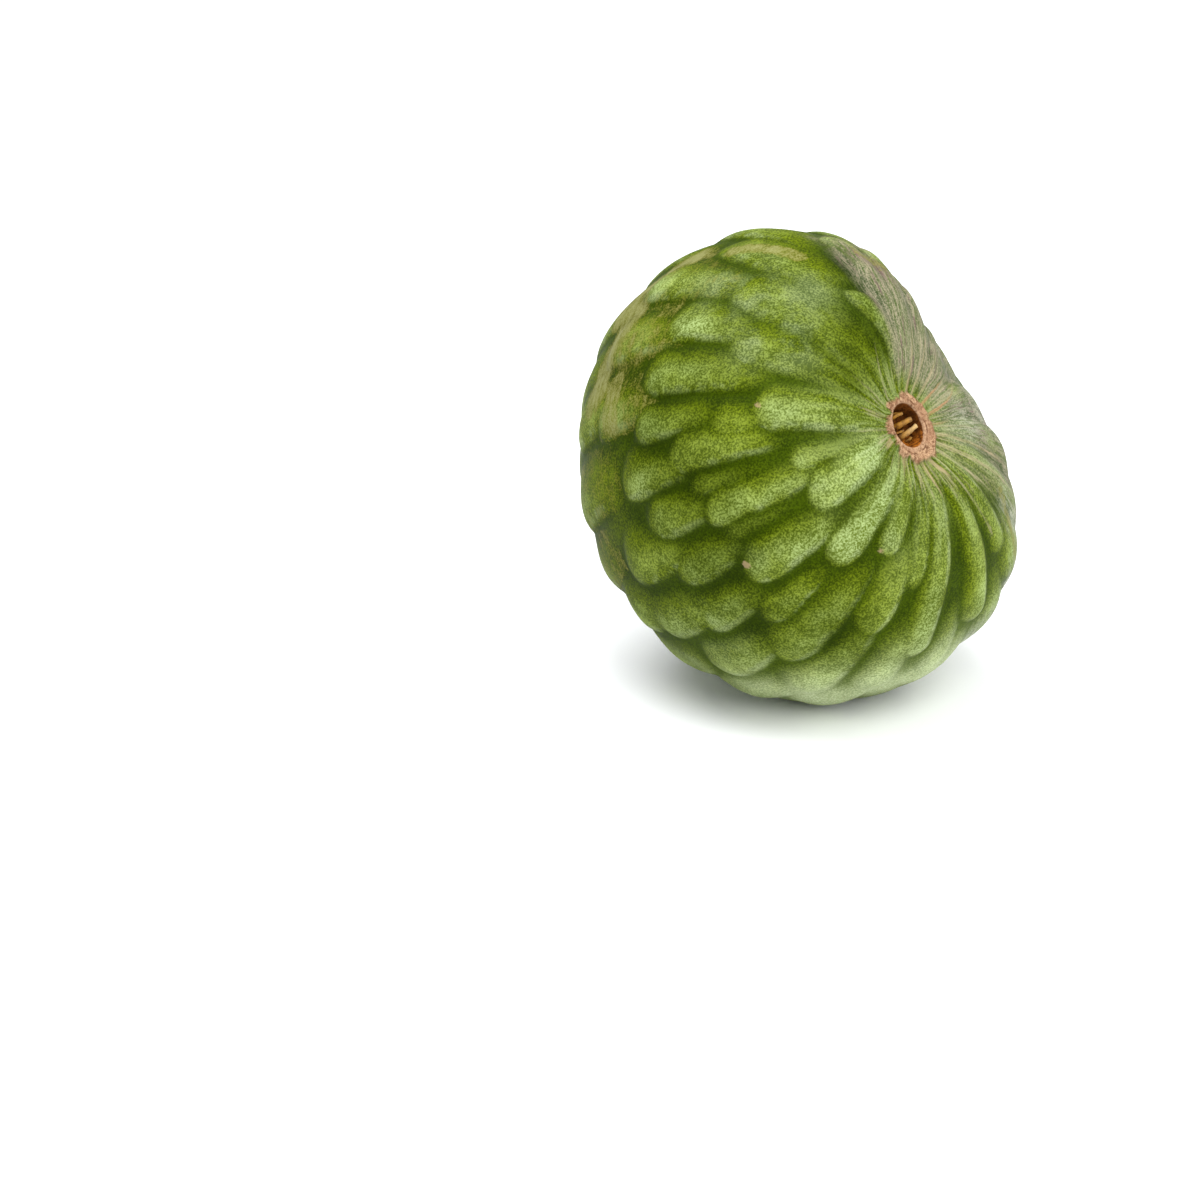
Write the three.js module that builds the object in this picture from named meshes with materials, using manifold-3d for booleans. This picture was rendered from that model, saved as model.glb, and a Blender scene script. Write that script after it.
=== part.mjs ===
// A whole custard apple lying on its side, as picked: the round green fruit, the
// low tongue-shaped scales that cover it, and the sunken corky scar with its pit of
// torn fibres where the stalk broke off. Millimetres, Z up, origin under the middle.

import * as THREE from 'three';
import { mergeVertices } from 'three/addons/utils/BufferGeometryUtils.js';
import Module from 'manifold-3d';

// Rounded body
const BASE_RADIUS = 47.7;
const CENTRE = new THREE.Vector3(0.8, 0.1, 49.5);
const STEM_AZIMUTH = 35.5; // the stem end faces the front, turned this far to the right
const STEM_TILT = 28.5; // and this far up from level
const FLAT_SOFTNESS = 0.5; // how softly the underside runs into the spot it rests on

// Scales
const SCALE_HALF_WIDTH = 9.4;
const SCALE_LENGTH = 28;
const SCALE_RISE = 1.7;
const SPIRAL_COUNT = 110; // scales on a whole fruit, in the spiral they grow in
const SPIRAL_ANGLE = 137.5;
const FRONT_UP = 22; // the front, seen from a little above
const FRONT_REACH = 70; // the scales placed one by one cover it this far round
const TIP_SPACING = 12; // no two tips lie closer than this, in degrees
const ROOT_TAPER = 0.25; // how much narrower a scale is at its root
const CREST_SHIFT = 0.35; // how far its crest lies off its middle line, as on shingles
const BLEND_POWER = 8; // how sharply neighbouring scales meet

// Scar of the stalk
const PIT_RADIUS = 4.5;
const PIT_DEPTH = 2.8;
const PIT_OVAL = 0.07; // the scar is a little taller than it is wide
const SCAR_SHIFT = 1.5; // and lies this many degrees to the left of the stem axis
const SCAR_REACH = 26; // the skin follows it this far out, in degrees
const RIM_RADIUS = 7.1;
const RIM_SHIFT = 1.2; // the cork is wider on one side
const RIM_SHIFT_AROUND = -110;
const RIM_RISE = 0.9;
const SCALES_BEGIN = 9; // the scales rise out of the cork from this many degrees
const SCALES_FULL = 17; // and have their full height from here on

// Spacing of the facets
const FACET_WIDTH = 2.45;
const ROW_STEP = 2.8; // degrees

const rad = THREE.MathUtils.degToRad;
const deg = THREE.MathUtils.radToDeg;
const smooth = THREE.MathUtils.smoothstep;

// The fruit's own frame: along the stem axis, up the fruit, and across it. Angles
// "around" run about the stem axis from the upper side, and angles "down" run from
// the stem scar (0) to the far end (180).
const STEM = new THREE.Vector3(
  Math.sin(rad(STEM_AZIMUTH)) * Math.cos(rad(STEM_TILT)),
  -Math.cos(rad(STEM_AZIMUTH)) * Math.cos(rad(STEM_TILT)),
  Math.sin(rad(STEM_TILT)),
);
const UPWARD = new THREE.Vector3(0, 0, 1).addScaledVector(STEM, -STEM.z).normalize();
const ACROSS = new THREE.Vector3().crossVectors(STEM, UPWARD);
const FRONT = new THREE.Vector3(0, -Math.cos(rad(FRONT_UP)), Math.sin(rad(FRONT_UP)));

function direction(around, down) {
  const a = rad(around);
  const t = rad(down);
  return STEM.clone()
    .multiplyScalar(Math.cos(t))
    .addScaledVector(UPWARD, Math.sin(t) * Math.cos(a))
    .addScaledVector(ACROSS, Math.sin(t) * Math.sin(a));
}

// Broad swellings and hollows of the body, each a soft bump about its own middle.
const SWELLINGS = [
  { around: 0, down: 0, spread: 26, rise: -7.0 }, // hollow that the scar sits in
  { around: -66, down: 49, spread: 36, rise: -9.8 }, // flattened side above the scar
  { around: -10, down: 63, spread: 31, rise: 3.4 },
  { around: -140, down: 67, spread: 15, rise: 2.7 },
  { around: 176, down: 93, spread: 42, rise: 4.0 }, // full underside
  { around: 20, down: 102, spread: 37, rise: 4.0 },
  { around: -165, down: 76, spread: 22, rise: 1.6 },
  { around: 178, down: 126, spread: 14, rise: 0.9 }, // where it lies
].map((s) => ({ ...s, middle: direction(s.around, s.down) }));

function bodyRadius(dir) {
  let radius = BASE_RADIUS;
  for (const s of SWELLINGS) {
    const angle = deg(Math.acos(THREE.MathUtils.clamp(dir.dot(s.middle), -1, 1)));
    radius += s.rise * Math.exp(-((angle / s.spread) ** 2));
  }
  return radius;
}

// Scales of the front, one by one. Each is a low tongue whose round tip lies at
// (around, down) and points away from the stem. Length runs back from the tip.
const FRONT_SCALES = [
  // narrow scales that start at the scar
  { around: 5, down: 41, half: 5, length: 34, rise: 1.5, lean: 0.9 },
  { around: 22, down: 29, half: 4, length: 26, rise: 0.5 },
  { around: 26, down: 43, half: 7.5, length: 34, rise: 0.8 },
  { around: 70, down: 49, half: 7, length: 44, rise: 1.7 },
  { around: 91, down: 42, half: 5, length: 30, rise: 1.0 },
  { around: 107, down: 42, half: 8, length: 44, rise: 1.8, lean: 0.3 },
  { around: 128, down: 48, half: 7, length: 46, rise: 1.7 },
  { around: 146, down: 39, half: 5, length: 38, rise: 1.4 },
  { around: 163, down: 46, half: 5, length: 36, rise: 1.1 },
  { around: 174, down: 67, half: 6, length: 62, rise: 1.5 },
  { around: -163, down: 63, half: 5, length: 56, rise: 1.5 },
  { around: -148, down: 50, half: 5, length: 42, rise: 1.2 },
  { around: -128, down: 58, half: 6, length: 52, rise: 1.4 },
  { around: -106, down: 44, half: 6, length: 36, rise: 1.2 },
  { around: -80, down: 46, half: 6, length: 38, rise: 1.2 },
  { around: -56, down: 58, half: 6.5, length: 50, rise: 1.2 },
  { around: -40, down: 62, half: 6.5, length: 54, rise: 1.5 },
  { around: -24, down: 65, half: 6.5, length: 58, rise: 1.7 },
  { around: -9, down: 64, half: 6, length: 56, rise: 1.7, lean: 0.3 },
  // scales that start further out, under the tips of the first
  { around: 12, down: 77, half: 8.5, length: 38, rise: 1.0 },
  { around: 27, down: 64, half: 10, length: 36, rise: 0.8 },
  { around: 46, down: 58, half: 8.5, length: 38, rise: 0.8 },
  { around: 42, down: 76, half: 7.5, length: 26, rise: 1.4 },
  { around: 57, down: 80, half: 7.5, length: 36, rise: 1.5 },
  { around: 73, down: 60, half: 6, length: 22, rise: 1.2 },
  { around: 70, down: 82, half: 6.5, length: 28, rise: 1.6 },
  { around: 79, down: 72, half: 7, length: 32, rise: 1.8 },
  { around: 89, down: 68, half: 5.5, length: 26, rise: 1.1 },
  { around: 97, down: 66, half: 6, length: 36, rise: 1.8 },
  { around: 104, down: 64, half: 5, length: 26, rise: 1.0 },
  { around: 116, down: 65, half: 7.5, length: 38, rise: 1.9 },
  { around: 129, down: 70, half: 6.5, length: 26, rise: 1.4 },
  { around: 140, down: 78, half: 9, length: 38, rise: 1.7 },
  { around: 154, down: 60, half: 7, length: 32, rise: 1.6 },
  { around: 153, down: 89, half: 9, length: 36, rise: 1.6 },
  { around: 168, down: 82, half: 8, length: 34, rise: 1.5 },
  { around: -176, down: 84, half: 7.5, length: 30, rise: 1.5 },
  { around: -155, down: 80, half: 7.5, length: 34, rise: 1.5 },
  { around: -136, down: 78, half: 7, length: 30, rise: 1.5 },
  // widest part of the fruit, up to its outline
  { around: 28, down: 92, half: 8, length: 30, rise: 1.7 },
  { around: 45, down: 98, half: 8, length: 30, rise: 1.7 },
  { around: 64, down: 99, half: 7.5, length: 28, rise: 1.6 },
  { around: 82, down: 89, half: 7.5, length: 28, rise: 1.6 },
  { around: 94, down: 84, half: 7.5, length: 28, rise: 1.5 },
  { around: 108, down: 82, half: 7.5, length: 28, rise: 1.5 },
  { around: 122, down: 86, half: 7.5, length: 28, rise: 1.5 },
  { around: 136, down: 98, half: 8.5, length: 30, rise: 1.6 },
  { around: 102, down: 100, half: 8.5, length: 30, rise: 1.6 },
  { around: 119, down: 104, half: 8.5, length: 30, rise: 1.6 },
  { around: 166, down: 101, half: 8.5, length: 30, rise: 1.5 },
  { around: 150, down: 110, half: 8.5, length: 32, rise: 1.5 },
];

// Scales of the rest, in the spiral that they grow in: each turns on by the same
// angle and lies a little further from the stem, with a small seeded unevenness.
function uneven(n, seed) {
  return ((n * 0.7548777 + seed * 0.5698403) % 1) - 0.5;
}
const spiralScales = [];
for (let i = 0; i < SPIRAL_COUNT; i++) {
  const around = ((i * SPIRAL_ANGLE + 5 * uneven(i, 1) + 180) % 360) - 180;
  const down = deg(Math.acos(1 - (2 * (i + 0.5)) / SPIRAL_COUNT)) + 5 * uneven(i, 2);
  const tip = direction(around, down);
  const nearest = Math.min(
    ...FRONT_SCALES.map((s) => deg(direction(s.around, s.down).angleTo(tip))),
  );
  if (down < 34 || tip.dot(FRONT) > Math.cos(rad(FRONT_REACH))) continue;
  if (nearest < TIP_SPACING || down > 164) continue;
  spiralScales.push({
    around,
    down,
    half: SCALE_HALF_WIDTH * (1 + 0.3 * uneven(i, 3)),
    length: SCALE_LENGTH * (1 + 0.3 * uneven(i, 4)),
    rise: SCALE_RISE * (1 + 0.4 * uneven(i, 5)),
  });
}

// A last ring of small scales closes on the far end, where the flower sat.
const endScales = [];
for (let k = 0; k < 6; k++) {
  endScales.push({ around: 60 * k + 15 + 9 * uneven(k, 6), down: 173, half: 7, length: 20, rise: 1.3 });
}
const SCALES = [...FRONT_SCALES, ...spiralScales, ...endScales];

// Height of the scales above the body. A scale's back is round across and steeper on
// one side, its tip is round too, and it sinks into the body toward its root.
const MM_PER_DEGREE = (Math.PI * BASE_RADIUS) / 180;
function scaleHeight(around, down) {
  const widen = Math.sin(rad(down)) * MM_PER_DEGREE;
  let sum = 0;
  for (const s of SCALES) {
    const back = (s.down - down) * MM_PER_DEGREE;
    if (back < 0 || back > s.length) continue;
    let turn = around - s.around + (s.lean ?? 0) * (s.down - down);
    turn -= 360 * Math.round(turn / 360);
    const toRoot = back / s.length;
    const side = (turn * widen) / (s.half * (1 - ROOT_TAPER * toRoot));
    const fromCrest = side - CREST_SHIFT * Math.max(1 - side * side, 0);
    const end = Math.max(s.half - back, 0) / s.half;
    const outward = fromCrest * fromCrest + end * end;
    if (outward >= 1) continue;
    const height = s.rise * (1 - outward) * (1 - toRoot ** 1.5);
    sum += height ** BLEND_POWER;
  }
  return sum ** (1 / BLEND_POWER) * smooth(down, SCALES_BEGIN, SCALES_FULL);
}

// The scar: a pit with steep walls, a thin lip round it, and a low ring of cork.
function scarHeight(around, down) {
  const out = rad(down) * (BASE_RADIUS - 7);
  const edge = RIM_RADIUS + RIM_SHIFT * Math.cos(rad(around - RIM_SHIFT_AROUND));
  const pit = -PIT_DEPTH * (1 - smooth(out, PIT_RADIUS - 0.8, PIT_RADIUS));
  const lip = 0.5 * RIM_RISE * Math.exp(-(((out - PIT_RADIUS - 0.4) / 0.45) ** 2));
  const cork = RIM_RISE * smooth(out, PIT_RADIUS - 0.8, PIT_RADIUS + 1.6);
  return pit + lip + cork * (1 - smooth(out, edge - 0.8, edge + 0.5));
}

// Under the fruit, where its weight presses, the skin is flat.
function settle(point) {
  const t = point.z / FLAT_SOFTNESS;
  if (t < -1) {
    point.z = 0;
  } else if (t < 1) {
    point.z = (FLAT_SOFTNESS * (t + 1) ** 2) / 4;
  }
  return point;
}

// Round the scar the rings of points are oval and moved over, as the scar itself is.
function surfacePoint(around, down) {
  const nearScar = 1 - smooth(down, SCALES_BEGIN, SCAR_REACH);
  const oval = 1 + PIT_OVAL * nearScar * Math.cos(2 * rad(around));
  const dir = direction(around, down * oval)
    .addScaledVector(ACROSS, rad(SCAR_SHIFT) * nearScar)
    .normalize();
  const radius = bodyRadius(dir) + scaleHeight(around, down) + scarHeight(around, down);
  return settle(dir.multiplyScalar(radius).add(CENTRE));
}

// Rings of points from the pit to the far end, close together at the scar.
const rings = [2.4, 4.2, 5.2, 5.8, 6.4, 7.1, 8.1, 9.2, 10.3, 11.4, 12.6, 14.2, 16.4, 19];
for (let down = 19 + ROW_STEP; down < 178; down += ROW_STEP) rings.push(down);
const positions = [surfacePoint(0, 0)];
const rows = rings.map((down) => {
  const round = 2 * Math.PI * Math.sin(rad(down)) * BASE_RADIUS;
  const width = down < 13 ? 1.15 : FACET_WIDTH;
  const count = Math.max(8, Math.round(round / width));
  const start = positions.length;
  for (let k = 0; k < count; k++) positions.push(surfacePoint((360 * k) / count, down));
  return { start, count };
});
const lastPoint = positions.length;
positions.push(surfacePoint(0, 180));

// Triangles between two rings, stepping along whichever ring is behind.
const triangles = [];
function stitch(inner, outer) {
  let i = 0;
  let j = 0;
  while (i < inner.count || j < outer.count) {
    const a = inner.start + (i % inner.count);
    const b = outer.start + (j % outer.count);
    const innerIsBehind = i < inner.count && (i + 1) / inner.count < (j + 1) / outer.count;
    if (j === outer.count || innerIsBehind) {
      i++;
      triangles.push(a, b, inner.start + (i % inner.count));
    } else {
      j++;
      triangles.push(a, b, outer.start + (j % outer.count));
    }
  }
}
const first = rows[0];
const last = rows[rows.length - 1];
for (let k = 0; k < first.count; k++) {
  triangles.push(0, first.start + k, first.start + ((k + 1) % first.count));
}
for (let k = 1; k < rows.length; k++) stitch(rows[k - 1], rows[k]);
for (let k = 0; k < last.count; k++) {
  triangles.push(lastPoint, last.start + ((k + 1) % last.count), last.start + k);
}

// Torn ends of the stalk's fibres, rooted in the floor of the pit and leaning over.
// Each runs from its root to its tip, given as (up, across, above the pit's floor).
const FIBRES = [
  { root: [0.2, 2.4, -1.0], tip: [1.0, -2.2, 2.6], thick: 1.5, thin: 0.8 },
  { root: [-2.6, 1.0, -1.0], tip: [-0.9, -2.8, 3.0], thick: 1.3, thin: 0.9 },
  { root: [2.4, 0.4, -1.0], tip: [2.3, -2.0, 2.2], thick: 1.0, thin: 0.6 },
  { root: [-1.4, 2.8, -1.0], tip: [-2.2, 0.4, 1.8], thick: 0.9, thin: 0.5 },
];
const floor = surfacePoint(0, 0);
function inPit([up, across, above]) {
  return floor
    .clone()
    .addScaledVector(UPWARD, up)
    .addScaledVector(ACROSS, across)
    .addScaledVector(STEM, above);
}
function fibreGeometry({ root, tip, thick, thin }) {
  const from = inPit(root);
  const along = inPit(tip).sub(from);
  const geometry = new THREE.CylinderGeometry(thin / 2, thick / 2, along.length(), 7, 1);
  const upright = new THREE.Vector3(0, 1, 0);
  const turn = new THREE.Quaternion().setFromUnitVectors(upright, along.clone().normalize());
  geometry.applyQuaternion(turn);
  const middle = from.addScaledVector(along, 0.5);
  return geometry.translate(middle.x, middle.y, middle.z);
}

// The fruit grew as one piece, so skin, scar and fibres are joined in one solid.
const wasm = await Module();
wasm.setup();
function solid(geometry) {
  const bare = geometry.clone();
  for (const name of ['normal', 'uv']) bare.deleteAttribute(name);
  const merged = mergeVertices(bare, 1e-4);
  return new wasm.Manifold(
    new wasm.Mesh({
      numProp: 3,
      vertProperties: new Float32Array(merged.attributes.position.array),
      triVerts: new Uint32Array(merged.index.array),
    }),
  );
}
const skin = new THREE.BufferGeometry().setFromPoints(positions);
skin.setIndex(triangles);
let whole = solid(skin);
for (const fibre of FIBRES) whole = whole.add(solid(fibreGeometry(fibre)));
const joined = whole.getMesh();
const fruitGeometry = new THREE.BufferGeometry();
fruitGeometry.setAttribute('position', new THREE.BufferAttribute(joined.vertProperties, 3));
fruitGeometry.setIndex(new THREE.BufferAttribute(joined.triVerts, 1));
fruitGeometry.computeVertexNormals();

const fruit = new THREE.Mesh(
  fruitGeometry,
  new THREE.MeshStandardMaterial({ color: 0x7f9450, roughness: 0.7, metalness: 0 }),
);
fruit.name = 'fruit';

const custardApple = new THREE.Group();
custardApple.name = 'custard_apple';
custardApple.add(fruit);
export default custardApple;
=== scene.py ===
import math

import bpy
import numpy as np
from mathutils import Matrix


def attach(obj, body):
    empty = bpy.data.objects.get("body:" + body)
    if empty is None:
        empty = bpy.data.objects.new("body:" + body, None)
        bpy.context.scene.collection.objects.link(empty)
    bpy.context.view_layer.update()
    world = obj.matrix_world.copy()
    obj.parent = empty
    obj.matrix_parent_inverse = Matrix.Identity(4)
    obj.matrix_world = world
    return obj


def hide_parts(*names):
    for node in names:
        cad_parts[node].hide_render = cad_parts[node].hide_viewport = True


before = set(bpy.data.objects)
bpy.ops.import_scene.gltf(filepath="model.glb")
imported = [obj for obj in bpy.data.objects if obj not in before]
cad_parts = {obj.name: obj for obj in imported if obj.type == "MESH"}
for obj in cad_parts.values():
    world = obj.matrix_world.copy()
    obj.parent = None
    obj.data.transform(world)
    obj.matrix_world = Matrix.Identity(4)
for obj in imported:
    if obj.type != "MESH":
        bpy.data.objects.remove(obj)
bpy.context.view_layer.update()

scene = bpy.context.scene
collection = scene.collection


# Viewpoint: the fruit is seen from the front and a little above, through a lens long
# enough to keep its round shape true.

VIEW_TILT = 22.0  # degrees that it looks down

lens = bpy.data.cameras.new("viewpoint")
lens.lens = 80.0
lens.sensor_width = 36.0
lens.clip_start = 0.01
viewpoint = bpy.data.objects.new("viewpoint", lens)
viewpoint.location = (-0.04362, -0.55615, 0.24237)
viewpoint.rotation_euler = (math.radians(90.0 - VIEW_TILT), 0.0, 0.0)
collection.objects.link(viewpoint)
scene.camera = viewpoint


# Body of the fruit: firm flesh under one skin, nearly round, with a hollow at the
# stem end where the stalk broke off and left a corky scar round a small pit. It grew
# as one piece and lies on a small flat spot.

# Lengths are in millimetres; "around" turns about the stem axis from the upper side,
# and "down" runs from the scar, 0 degrees, to the far end, 180 degrees.
MILLIMETRE = 0.001
BODY_RADIUS = 47.7
MILLIMETRES_PER_DEGREE = math.pi * BODY_RADIUS / 180.0
STEM_HOLLOW = 7.0
CENTRE = np.array([0.8, 0.1, 49.5])
STEM_AZIMUTH = math.radians(35.5)
STEM_TILT = math.radians(28.5)

STEM = np.array([
    math.sin(STEM_AZIMUTH) * math.cos(STEM_TILT),
    -math.cos(STEM_AZIMUTH) * math.cos(STEM_TILT),
    math.sin(STEM_TILT),
])
UPWARD = np.array([0.0, 0.0, 1.0]) - STEM[2] * STEM
UPWARD /= np.linalg.norm(UPWARD)
ACROSS = np.cross(STEM, UPWARD)


def direction(around, down):
    """Unit vectors from the fruit's centre, for angles in degrees."""
    a, t = np.radians(around)[..., None], np.radians(down)[..., None]
    return np.cos(t) * STEM + np.sin(t) * (np.cos(a) * UPWARD + np.sin(a) * ACROSS)


def smooth(value, low, high):
    t = np.clip((value - low) / (high - low), 0.0, 1.0)
    return t * t * (3.0 - 2.0 * t)


# Broad swellings and hollows: around, down, spread in degrees, rise in millimetres.
SWELLINGS = np.array([
    (0, 0, 26, -STEM_HOLLOW),
    (-66, 49, 36, -9.8),
    (-10, 63, 31, 3.4),
    (-140, 67, 15, 2.7),
    (176, 93, 42, 4.0),
    (20, 102, 37, 4.0),
    (-165, 76, 22, 1.6),
    (178, 126, 14, 0.9),
])


def body_radius(facing):
    radius = np.full(facing.shape[:-1], BODY_RADIUS)
    for swell_around, swell_down, spread, rise in SWELLINGS:
        middle = direction(np.array(swell_around), np.array(swell_down))
        angle = np.degrees(np.arccos(np.clip(facing @ middle, -1.0, 1.0)))
        radius += rise * np.exp(-((angle / spread) ** 2))
    return radius


PIT_RADIUS = 4.5
PIT_DEPTH = 2.8
PIT_WALL = 0.8
PIT_OVAL = 0.07
LIP_OUT = 0.4
LIP_WIDTH = 0.45
LIP_SHARE = 0.5
SCAR_SHIFT = 1.5
SCAR_REACH = 26.0
SCALES_BEGIN = 9.0
CORK_RADIUS = 7.1
CORK_SHIFT = 1.2
CORK_SHIFT_AROUND = -110.0
CORK_RISE = 0.9
CORK_SLOPE = 1.6
CORK_EDGE_IN = 0.8
CORK_EDGE_OUT = 0.5


def cork_edge(around):
    return CORK_RADIUS + CORK_SHIFT * np.cos(np.radians(around - CORK_SHIFT_AROUND))


def scar_height(around, down):
    out = np.radians(down) * (BODY_RADIUS - STEM_HOLLOW)
    edge = cork_edge(around)
    pit = -PIT_DEPTH * (1.0 - smooth(out, PIT_RADIUS - PIT_WALL, PIT_RADIUS))
    lip = LIP_SHARE * CORK_RISE * np.exp(-(((out - PIT_RADIUS - LIP_OUT) / LIP_WIDTH) ** 2))
    cork = CORK_RISE * smooth(out, PIT_RADIUS - PIT_WALL, PIT_RADIUS + CORK_SLOPE)
    return pit + lip + cork * (1.0 - smooth(out, edge - CORK_EDGE_IN, edge + CORK_EDGE_OUT))


def skin_direction(around, down):
    """Round the scar, which is oval and off the axis, the skin's points follow it."""
    near_scar = 1.0 - smooth(down, SCALES_BEGIN, SCAR_REACH)
    oval = 1.0 + PIT_OVAL * near_scar * np.cos(2.0 * np.radians(around))
    towards = direction(around, down * oval)
    towards = towards + (math.radians(SCAR_SHIFT) * near_scar)[..., None] * ACROSS
    return towards / np.linalg.norm(towards, axis=-1, keepdims=True)


SKIN_FACET = 0.62
FEWEST_SIDES = 10
# Rings of points from the pit to the far end, closest together on the pit's wall.
ring_downs = np.concatenate([
    np.arange(0.8, 5.0, 0.45),
    np.arange(5.05, 6.7, 0.13),
    np.arange(6.8, 13.0, 0.38),
    np.arange(13.3, 179.5, 0.72),
])
ring_lengths = 2 * math.pi * np.sin(np.radians(ring_downs)) * BODY_RADIUS
ring_counts = np.maximum(FEWEST_SIDES, np.round(ring_lengths / SKIN_FACET)).astype(int)
ring_starts = 1 + np.concatenate([[0], np.cumsum(ring_counts)])
last_point = int(ring_starts[-1])

around_all = [np.array([0.0])]
down_all = [np.array([0.0])]
for ring_down, ring_count in zip(ring_downs, ring_counts):
    around_all.append(360.0 * np.arange(ring_count) / ring_count)
    down_all.append(np.full(ring_count, ring_down))
around_all = np.concatenate(around_all + [np.array([0.0])])
down_all = np.concatenate(down_all + [np.array([180.0])])

skin_facing = skin_direction(around_all, down_all)
radii = body_radius(skin_facing) + scar_height(around_all, down_all)
body_points = CENTRE + skin_facing * radii[:, None]

# Triangles between two rings, stepping along whichever ring is behind, and a fan at
# each end.
faces = []
first_count = int(ring_counts[0])
for k in range(first_count):
    faces.append((0, 1 + k, 1 + (k + 1) % first_count))
for inner in range(len(ring_downs) - 1):
    n, m = int(ring_counts[inner]), int(ring_counts[inner + 1])
    here, there = int(ring_starts[inner]), int(ring_starts[inner + 1])
    i = j = 0
    while i < n or j < m:
        a, b = here + i % n, there + j % m
        if j == m or (i < n and (i + 1) / n < (j + 1) / m):
            i += 1
            faces.append((a, b, here + i % n))
        else:
            j += 1
            faces.append((a, b, there + j % m))
final_start, final_count = int(ring_starts[-2]), int(ring_counts[-1])
for k in range(final_count):
    faces.append((last_point, final_start + (k + 1) % final_count, final_start + k))

body_mesh = bpy.data.meshes.new("fruit_body")
body_mesh.from_pydata((body_points * MILLIMETRE).tolist(), [], faces)
body_mesh.update()


def store(mesh, name, values, kind="FLOAT"):
    """Keeps one number, or one vector, for each point of a mesh."""
    attribute = mesh.attributes.new(name, kind, "POINT")
    field = "vector" if kind == "FLOAT_VECTOR" else "value"
    attribute.data.foreach_set(field, np.asarray(values, np.float32).ravel())


DOWN_UNIT = 60.0  # degrees to one unit of the attribute "polar"
turned = np.radians(around_all)
out_all = np.radians(down_all) * (BODY_RADIUS - STEM_HOLLOW)
store(body_mesh, "around", around_all)
store(body_mesh, "down", down_all)
store(
    body_mesh, "polar",
    np.stack([np.cos(turned), np.sin(turned), down_all / DOWN_UNIT], -1), "FLOAT_VECTOR",
)
store(body_mesh, "past_cork", out_all - cork_edge(around_all))
store(body_mesh, "in_pit", 1.0 - smooth(out_all, PIT_RADIUS - 0.6, PIT_RADIUS + 0.3))
store(body_mesh, "out_from_stem", out_all)

fruit_body = bpy.data.objects.new("fruit_body", body_mesh)
collection.objects.link(fruit_body)


# Scales: each is the end of one of the many small fruits that grew together into this
# one. They are part of the skin, low tongues with a round tip that points away from
# the stem, and they overlap a little, like tiles.

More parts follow.
